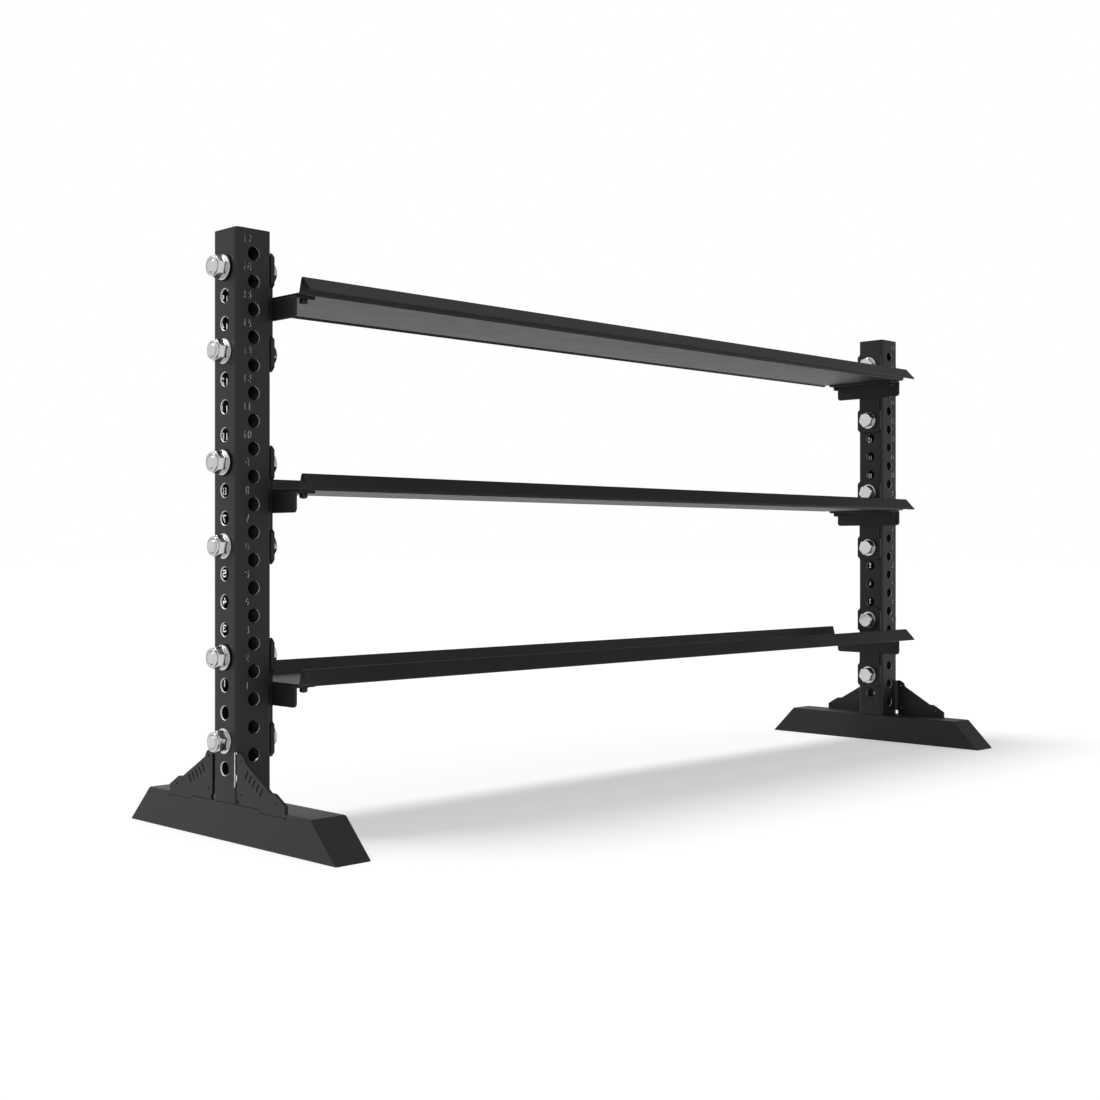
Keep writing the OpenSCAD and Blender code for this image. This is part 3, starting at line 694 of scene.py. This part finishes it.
# %% [markdown]
# ## Large bolts
# The big M24 bolts have a chamfered hexagon head and a rolled thread of 3 mm pitch at the far end. The
# thread is a helix, so the radius of each point follows its height and its turn together.

# %% Draw a threaded shank
THREAD_SEGMENTS = 36
ROWS_A_TURN = 6
# The last part of the thread is cut to a cone. It is this share of a pitch long.
POINT_SHARE = 2 / 3


def shank_shape(length, diameter, pitch, depth, plain):
    """A shank that hangs down from z = 0, threaded below its plain length and pointed at its end."""
    turn = np.arange(THREAD_SEGMENTS) / THREAD_SEGMENTS
    step = pitch / ROWS_A_TURN
    rows = [round_ring(diameter / 2, 0, THREAD_SEGMENTS)]
    for z in np.arange(plain, length + step / 2, step):
        phase = (z / pitch + turn) % 1
        cut = depth * np.abs(2 * phase - 1)
        run_in = min(1, (z - plain) / pitch)
        point = max(0, POINT_SHARE * pitch - (length - z))
        radius = diameter / 2 - np.maximum(cut * run_in, point)
        rows.append(round_ring(radius, -z, THREAD_SEGMENTS))
    return skin(rows[::-1], closed=False)


print("a thread is drawn with", THREAD_SEGMENTS * ROWS_A_TURN, "points a turn")

# %% Turn a large bolt
BOLT_DIAMETER = 24 * MM
HEX_SIZE = 36 * MM
HEAD_HEIGHT = 15 * MM
HEAD_ROUND_MM = 0.3
HEAD_FACE_HEIGHT = 0.6 * MM
DISH_SHARE = 0.86
DISH_DEPTH = 0.25 * MM
THREAD_PITCH = 3 * MM
THREAD_DEPTH = 1.7 * MM
THREAD_LENGTH = 60 * MM
BOLT_SHORT = 0.6 * MM
BOLT_LENGTH = extent("right_bracket_bolts").x - HEAD_HEIGHT - BOLT_SHORT


def head_shape(size, height):
    """A chamfered hexagon head on z = 0: a round washer face under it and a shallow dish on top."""
    face = size / 2 * FACE_SHARE
    rings = [round_ring(face, 0), round_ring(face, HEAD_FACE_HEIGHT), hex_ring(size, HEAD_FACE_HEIGHT, 0),
             hex_ring(size, height, 1), round_ring(face, height),
             round_ring(size / 2 * DISH_SHARE, height - DISH_DEPTH)]
    shape = skin(rings, closed=False)
    round_edges(shape, HEAD_ROUND_MM)
    return shape


large_bolt = to_mesh("large_bolt", head_shape(HEX_SIZE, HEAD_HEIGHT),
                     shank_shape(BOLT_LENGTH, BOLT_DIAMETER, THREAD_PITCH, THREAD_DEPTH,
                                 BOLT_LENGTH - THREAD_LENGTH))
print("a large bolt has", len(large_bolt.polygons), "faces")

# %% [markdown]
# ## Lock nuts
# A lock nut is a hexagon with a round collar above a shallow groove. The collar's edge is rolled in
# over a nylon ring, which grips the thread so that the nut can't shake loose.

# %% Turn a lock nut
NUT_HEX = 18.8 * MM
NUT_HEIGHT = 23.4 * MM
NUT_ROUND_MM = 0.25
COLLAR = 35.8 * MM
COLLAR_ROUND = 1.3 * MM
COLLAR_LIP = 0.2 * MM
GROOVE_DEPTH = 2.5 * MM
GROOVE_BOTTOM = 0.4 * MM
GROOVE_TOP = 1.9 * MM
NUT_BORE = BOLT_DIAMETER + 0.1 * MM
RING_SIZE = 28.4 * MM
RING_SEAT = 20.2 * MM
QUARTER_TURN = np.radians([0, 22, 45, 67, 90])


def lock_nut_shape():
    face = HEX_SIZE / 2 * FACE_SHARE
    roll = [round_ring(COLLAR / 2 - COLLAR_ROUND * (1 - math.cos(a)),
                       NUT_HEIGHT - COLLAR_ROUND * (1 - math.sin(a))) for a in QUARTER_TURN]
    rings = [round_ring(NUT_BORE / 2, 0), round_ring(face, 0), hex_ring(HEX_SIZE, 0, 0),
             hex_ring(HEX_SIZE, NUT_HEX, 1), round_ring(face, NUT_HEX),
             round_ring(COLLAR / 2 - GROOVE_DEPTH, NUT_HEX + GROOVE_BOTTOM),
             round_ring(COLLAR / 2, NUT_HEX + GROOVE_TOP),
             *roll, round_ring(RING_SIZE / 2, NUT_HEIGHT - COLLAR_LIP),
             round_ring(RING_SIZE / 2, RING_SEAT), round_ring(NUT_BORE / 2, RING_SEAT)]
    shape = skin(rings, closed=True)
    round_edges(shape, NUT_ROUND_MM)
    return shape


lock_nut = to_mesh("lock_nut", lock_nut_shape())
print("a lock nut has", len(lock_nut.polygons), "faces")

# %% Mould its nylon ring
RING_TOP = 22.6 * MM
RING_CHAMFER = {"across": 0.5 * MM, "down": 0.4 * MM}
MOUTH_CHAMFER = {"across": 0.4 * MM, "down": 0.6 * MM}


def nylon_ring_shape():
    outer, inner = RING_SIZE / 2, NUT_BORE / 2
    rings = [round_ring(inner, RING_SEAT), round_ring(outer, RING_SEAT),
             round_ring(outer, RING_TOP - RING_CHAMFER["down"]),
             round_ring(outer - RING_CHAMFER["across"], RING_TOP),
             round_ring(inner + MOUTH_CHAMFER["across"], RING_TOP),
             round_ring(inner, RING_TOP - MOUTH_CHAMFER["down"])]
    return skin(rings, closed=True)


nylon_ring = to_mesh("nylon_ring", nylon_ring_shape())
print("a nylon ring has", len(nylon_ring.polygons), "faces")

# %% [markdown]
# ## Washers and spacer rings
# A washer is stamped from sheet, which leaves its edges a little round. A spacer ring is thicker and
# may be cut from a tube, but it has the same shape, so one function draws both.

# %% Stamp the washers
WASHER_BORE = BOLT_DIAMETER + 1 * MM
WASHER_THICKNESS = 3 * MM
WASHER_ROUND_MM = 0.45
SPACER_SIZE = extent("right_spacer_rings").y
SPACER_THICKNESS = extent("right_spacer_rings").x


def washer_shape(outer, bore, thickness):
    """A flat ring with rounded edges, standing on z = 0."""
    shape = skin([round_ring(bore / 2, 0), round_ring(outer / 2, 0),
                  round_ring(outer / 2, thickness), round_ring(bore / 2, thickness)], closed=True)
    round_edges(shape, WASHER_ROUND_MM)
    return shape


large_washer = to_mesh("large_washer", washer_shape(WASHER_SIZE, WASHER_BORE, WASHER_THICKNESS))
spacer_ring = to_mesh("spacer_ring", washer_shape(SPACER_SIZE, WASHER_BORE, SPACER_THICKNESS))
print("a washer has", len(large_washer.polygons), "faces")

# %% [markdown]
# ## Rows of large fasteners
# Each upright carries six bolts, two for each of its three brackets. One node tree places them all: a
# line of tiers, and on it a line of bolts. The upper bolt of each bracket has a spacer ring under its
# nut, so what sits on it can be stepped outwards, and the lowest nut was stopped at another turn. The
# nuts are turned the other way on the left, because the rack is mirrored.

# %% Build the tree for rows of fasteners


def make_row_tree():
    tree, given, keys = new_tree("bolt_rows", {
        "Fastener": "Geometry", "Foot of the row": "Vector", "Tiers": "Int", "Tier pitch": "Float",
        "Bolts a bracket": "Int", "Bolt spacing": "Float", "Upper step": "Float",
        "Lowest turn": "Float", "Material": "Material"})
    tier_step = add(tree, "ShaderNodeCombineXYZ", {"Z": given["Tier pitch"]})
    bolt_step = add(tree, "ShaderNodeCombineXYZ", {"Z": given["Bolt spacing"]})
    tiers = add(tree, "GeometryNodeMeshLine", {"Count": given["Tiers"], "Offset": tier_step,
                                               "Start Location": given["Foot of the row"]})
    pair = add(tree, "GeometryNodeMeshLine", {"Count": given["Bolts a bracket"], "Offset": bolt_step})
    pairs = add(tree, "GeometryNodeInstanceOnPoints", {"Points": tiers, "Instance": pair})
    points = add(tree, "GeometryNodeRealizeInstances", {"Geometry": pairs})
    number = add(tree, "GeometryNodeInputIndex")
    is_upper = add(tree, "ShaderNodeMath", {0: number, 1: 2.0}, operation="MODULO")
    outwards = add(tree, "ShaderNodeMath", {0: is_upper, 1: given["Upper step"]}, operation="MULTIPLY")
    step = add(tree, "ShaderNodeCombineXYZ", {"X": outwards})
    seats = add(tree, "GeometryNodeSetPosition", {"Geometry": points, "Offset": step})
    is_lowest = add(tree, "FunctionNodeCompare", {"A": number, "B": 0.5}, data_type="FLOAT",
                    operation="LESS_THAN")
    turned = add(tree, "ShaderNodeMath", {0: is_lowest, 1: given["Lowest turn"]}, operation="MULTIPLY")
    turn = add(tree, "ShaderNodeCombineXYZ", {"X": turned})
    row = add(tree, "GeometryNodeInstanceOnPoints",
              {"Points": seats, "Instance": given["Fastener"], "Rotation": turn})
    end_tree(tree, row, given["Material"])
    return tree, keys


row_tree, row_keys = make_row_tree()
print("row tree has", len(row_tree.nodes), "nodes")

# %% Place the large fasteners
HEAD_TURN = math.radians(12)
NUT_TURN = math.radians(41)
LOWEST_NUT_TURN = math.radians(2.5)
HEAD_SEAT = UPRIGHT_X - HALF_TUBE - extent("right_top_bracket_plate").x
OUTER_FACE = UPRIGHT_X + HALF_TUBE
TO_TRAYS, AWAY = -1, 1


def row_of(name, replaced, fastener, side, pointing, seat, turn=0.0,
           material=zinc_plate, values=None):
    """Places a row of one fastener on an upright, pointing to the trays or away from them."""
    outward = SIDES[side]
    mesh = fastener.copy()
    mesh.transform(Matrix.Rotation(turn, 4, "Z"))
    mesh.transform(Matrix.Rotation(math.radians(90) * outward * pointing, 4, "Y"))
    draft = plain_object("draft", mesh)
    settings = {"Foot of the row": (outward * seat, 0, LOWEST_BOLT), "Tiers": len(TIERS),
                "Tier pitch": TIER_PITCH, "Bolts a bracket": 2, "Bolt spacing": BOLT_SPACING,
                "Upper step": 0.0, "Lowest turn": 0.0, "Material": material}
    settings.update(values or {})
    apply_tree(draft, row_tree, row_keys, settings)
    row = baked(draft, f"{side}_{name}")
    settle(row, f"{side}_{replaced}")
    print(row.name, len(row.data.polygons), "faces")


for side, sign in SIDES.items():
    stepped = {"Upper step": sign * SPACER_THICKNESS}
    turned = {**stepped, "Lowest turn": LOWEST_NUT_TURN}
    upper_foot = (sign * OUTER_FACE, 0, LOWEST_BOLT + BOLT_SPACING)
    upper_only = {"Bolts a bracket": 1, "Foot of the row": upper_foot}
    row_of("large_bolts", "bracket_bolts", large_bolt, side, TO_TRAYS, HEAD_SEAT - WASHER_THICKNESS,
           HEAD_TURN)
    row_of("large_head_washers", "head_washers", large_washer, side, TO_TRAYS, HEAD_SEAT)
    row_of("large_nut_washers", "nut_washers", large_washer, side, AWAY, OUTER_FACE, values=stepped)
    row_of("large_lock_nuts", "lock_nuts", lock_nut, side, AWAY, OUTER_FACE + WASHER_THICKNESS,
           sign * NUT_TURN, values=turned)
    row_of("nylon_rings", "nut_inserts", nylon_ring, side, AWAY, OUTER_FACE + WASHER_THICKNESS,
           material=nylon, values=turned)
    row_of("black_spacers", "spacer_rings", spacer_ring, side, AWAY, OUTER_FACE,
           material=dry_oxide, values=upper_only)

# %% [markdown]
# ## Tray bolts
# Four small button-head bolts hold each tray on its arms. From above one sees a low dome with a
# hexagon socket, from below a nut on a washer.

# %% Turn the tray bolts
SMALL_BOLT = 8 * MM
BUTTON_SIZE = 16 * MM
BUTTON_HEIGHT = 4.4 * MM
BUTTON_RIM = 0.6 * MM
BUTTON_FLAT = BUTTON_SIZE * 0.19
SOCKET_SIZE = 5 * MM
SOCKET_DEPTH = 2.6 * MM
MOUTH_WIDER = 0.15 * MM
MOUTH_DEPTH = 0.3 * MM
SHANK_CORE = 0.5 * MM
SMALL_PITCH = 1.25 * MM
SMALL_THREAD_DEPTH = 0.7 * MM
SMALL_PLAIN_LENGTH = 0.4 * MM
SMALL_SHANK = extent("top_shelf_bolts").z - BUTTON_HEIGHT
DOME_TURN = np.radians([0, 15, 30, 45, 58, 68])


def button_head_shape():
    """A low dome with a hexagon socket in its top, standing on z = 0."""
    rise = BUTTON_HEIGHT - BUTTON_RIM
    dome = [round_ring(BUTTON_SIZE / 2 * math.cos(a), BUTTON_RIM + rise * math.sin(a)) for a in DOME_TURN]
    flat = round_ring(BUTTON_FLAT, BUTTON_HEIGHT)
    mouth = round_ring(hex_radius(SOCKET_SIZE) + MOUTH_WIDER, BUTTON_HEIGHT)
    wall = round_ring(hex_radius(SOCKET_SIZE), BUTTON_HEIGHT - MOUTH_DEPTH)
    floor = round_ring(hex_radius(SOCKET_SIZE), BUTTON_HEIGHT - SOCKET_DEPTH)
    foot = [round_ring(SHANK_CORE, 0), round_ring(BUTTON_SIZE / 2, 0)]
    return skin([*foot, *dome, flat, mouth, wall, floor], closed=False)


tray_bolt = to_mesh("tray_bolt", button_head_shape(),
                    shank_shape(SMALL_SHANK, SMALL_BOLT, SMALL_PITCH, SMALL_THREAD_DEPTH,
                                SMALL_PLAIN_LENGTH))
print("a tray bolt has", len(tray_bolt.polygons), "faces")

# %% Turn their nuts and washers
SMALL_NUT = 13 * MM
SMALL_NUT_HEIGHT = 7 * MM
SMALL_NUT_ROUND_MM = 0.15
SMALL_WASHER = 17 * MM
SMALL_WASHER_BORE = SMALL_BOLT + 0.4 * MM
SMALL_WASHER_THICKNESS = 1.6 * MM


def small_nut_shape():
    face = SMALL_NUT / 2 * FACE_SHARE
    rings = [round_ring(SMALL_BOLT / 2, 0), round_ring(face, 0), hex_ring(SMALL_NUT, 0, -1),
             hex_ring(SMALL_NUT, SMALL_NUT_HEIGHT, 1), round_ring(face, SMALL_NUT_HEIGHT),
             round_ring(SMALL_BOLT / 2, SMALL_NUT_HEIGHT)]
    shape = skin(rings, closed=True)
    round_edges(shape, SMALL_NUT_ROUND_MM)
    return shape


tray_nut = to_mesh("tray_nut", small_nut_shape())
tray_washer = to_mesh("tray_washer", washer_shape(SMALL_WASHER, SMALL_WASHER_BORE, SMALL_WASHER_THICKNESS))
print("a tray nut has", len(tray_nut.polygons), "faces")

# %% [markdown]
# ## Four to a tray
# The four bolts of a tray are the corners of a long rectangle, which is a grid of two by two points.

# %% Build the tree for four corners


def make_corner_tree():
    tree, given, keys = new_tree("four_corners", {
        "Fastener": "Geometry", "Middle": "Vector", "Length apart": "Float", "Width apart": "Float",
        "Material": "Material"})
    grid = add(tree, "GeometryNodeMeshGrid",
               {"Size X": given["Length apart"], "Size Y": given["Width apart"],
                "Vertices X": 2, "Vertices Y": 2})
    seats = add(tree, "GeometryNodeSetPosition", {"Geometry": grid, "Offset": given["Middle"]})
    four = add(tree, "GeometryNodeInstanceOnPoints", {"Points": seats, "Instance": given["Fastener"]})
    end_tree(tree, four, given["Material"])
    return tree, keys


corner_tree, corner_keys = make_corner_tree()
print("corner tree has", len(corner_tree.nodes), "nodes")

# %% Place the tray bolts
for tier in TIERS:
    apart = extent(f"{tier}_shelf_washers") - Vector((SMALL_WASHER, SMALL_WASHER, 0))
    for kind, mesh in {"bolts": tray_bolt, "washers": tray_washer, "nuts": tray_nut}.items():
        node = f"{tier}_shelf_{kind}"
        low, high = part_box(node)
        level = high.z - BUTTON_HEIGHT if kind == "bolts" else low.z
        draft = plain_object("draft", mesh.copy())
        apply_tree(draft, corner_tree, corner_keys, {
            "Middle": (0, 0, level), "Length apart": apart.x, "Width apart": apart.y,
            "Material": oiled_oxide})
        four = baked(draft, f"{tier}_tray_{kind}")
        settle(four, node)
    print("the bolts of the", tier, "tray are", round(apart.x / MM), "by", round(apart.y / MM), "mm apart")

# %% [markdown]
# ## Floor and sky
# The rack stands in a white studio. The floor is a pale matt sheet that keeps the shadow. What the
# camera and shiny metal see of it is lifted to white by a little glow of its own, so no extra light
# falls on the rack. The sky is white to them too, and otherwise lights the rack at about half of
# that. From high on the right it gives less still, as if a dark cloth hung there out of view, which
# keeps the upper sides of the trays black.

# %% Make the floor
FLOOR_HALF = 60.0
FLOOR_ALBEDO = (0.68, 0.68, 0.68, 1.0)
FLOOR_LIFT = 0.42


def seen_directly(tree):
    """A node that gives 1 for rays from the camera, and for mirrored and transmitted ones."""
    path = add(tree, "ShaderNodeLightPath").outputs
    either = add(tree, "ShaderNodeMath", {0: path["Is Camera Ray"], 1: path["Is Glossy Ray"]},
                 operation="MAXIMUM")
    return add(tree, "ShaderNodeMath", {0: either, 1: path["Is Transmission Ray"]}, operation="MAXIMUM")


def make_floor():
    mesh = bpy.data.meshes.new("studio_floor")
    corners = [(x * FLOOR_HALF, y * FLOOR_HALF, 0) for x, y in ((-1, -1), (1, -1), (1, 1), (-1, 1))]
    mesh.from_pydata(corners, [], [(0, 1, 2, 3)])
    floor = plain_object("studio_floor", mesh)
    material = bpy.data.materials.new("white_studio_floor")
    material.use_nodes = True
    tree = material.node_tree
    tree.nodes.clear()
    matt = add(tree, "ShaderNodeBsdfDiffuse", {"Color": FLOOR_ALBEDO})
    strength = add(tree, "ShaderNodeMath", {0: seen_directly(tree), 1: FLOOR_LIFT}, operation="MULTIPLY")
    glow = add(tree, "ShaderNodeEmission", {"Strength": strength})
    both = add(tree, "ShaderNodeAddShader", {0: matt, 1: glow})
    add(tree, "ShaderNodeOutputMaterial", {"Surface": both})
    mesh.materials.append(material)


make_floor()
print("the floor is", 2 * FLOOR_HALF, "metres wide")

# %% Make the sky
SKY_LEVEL = 0.48
CLOTH_TOWARDS = Vector((0.82, 0.05, 0.57)).normalized()
# The cosine of the angle from the middle of the cloth, where its shade begins and would be full.
CLOTH_EDGE = {"From Min": 0.6, "From Max": 1.05}
CLOTH_LEAVES = 0.25


def make_sky():
    world = bpy.data.worlds.new("studio_sky")
    bpy.context.scene.world = world
    world.use_nodes = True
    tree = world.node_tree
    tree.nodes.clear()
    white = add(tree, "ShaderNodeMapRange",
                {"Value": seen_directly(tree), "To Min": SKY_LEVEL, "To Max": 1.0})
    towards = add(tree, "ShaderNodeTexCoord").outputs["Generated"]
    nearness = add(tree, "ShaderNodeVectorMath", {0: towards, 1: CLOTH_TOWARDS}, operation="DOT_PRODUCT")
    cloth = add(tree, "ShaderNodeMapRange",
                {"Value": nearness.outputs["Value"], **CLOTH_EDGE, "To Min": 1.0, "To Max": CLOTH_LEAVES},
                interpolation_type="SMOOTHSTEP")
    camera_ray = add(tree, "ShaderNodeLightPath").outputs["Is Camera Ray"]
    unseen = add(tree, "ShaderNodeMath", {0: cloth, 1: camera_ray}, operation="MAXIMUM")
    strength = add(tree, "ShaderNodeMath", {0: white, 1: unseen}, operation="MULTIPLY")
    sky = add(tree, "ShaderNodeBackground", {"Color": (1, 1, 1, 1), "Strength": strength})
    add(tree, "ShaderNodeOutputWorld", {"Surface": sky})


make_sky()
bpy.context.scene.view_settings.view_transform = "Standard"
print("the sky lights the rack at", SKY_LEVEL, "of white")

# %% [markdown]
# ## Lamp
# The light is one soft lamp, high and a little behind on the left, as in a studio where a large screen
# hangs over the set. A sun lamp with a wide disc does that: its light is the same all the way to the
# horizon, so the floor stays evenly white.

# %% Hang the lamp
LAMP_STRENGTH = 1.75
LAMP_WIDTH = math.radians(24)
LIGHT_FALLS = Vector((0.3, -0.27, -1.0))
# A sun lamp lights the same from anywhere. This place only shows where the screen would hang.
LAMP_PLACE = (-1.2, 1.1, 4.0)

lamp = bpy.data.lights.new("soft_lamp", "SUN")
lamp.angle = LAMP_WIDTH
lamp.energy = LAMP_STRENGTH
holder = bpy.data.objects.new("soft_lamp", lamp)
bpy.context.scene.collection.objects.link(holder)
holder.location = LAMP_PLACE
holder.rotation_euler = LIGHT_FALLS.to_track_quat("-Z", "Y").to_euler()
print("the lamp is", round(math.degrees(LAMP_WIDTH)), "degrees wide")

# %% [markdown]
# ## Camera
# The camera stands level, half way up the rack, and looks at it across one corner.

# %% Place the camera
CAMERA_PLACE = (-2.602, -2.3535, 0.5229)
CAMERA_TURN = math.radians(45)
LENS_MM = 50
SENSOR_MM = 36

lens = bpy.data.cameras.new("camera")
lens.lens = LENS_MM
lens.sensor_width = SENSOR_MM
camera = bpy.data.objects.new("camera", lens)
bpy.context.scene.collection.objects.link(camera)
camera.location = CAMERA_PLACE
camera.rotation_euler = (math.radians(90), 0, -CAMERA_TURN)
bpy.context.scene.camera = camera
print("camera at", [round(v, 3) for v in camera.location])
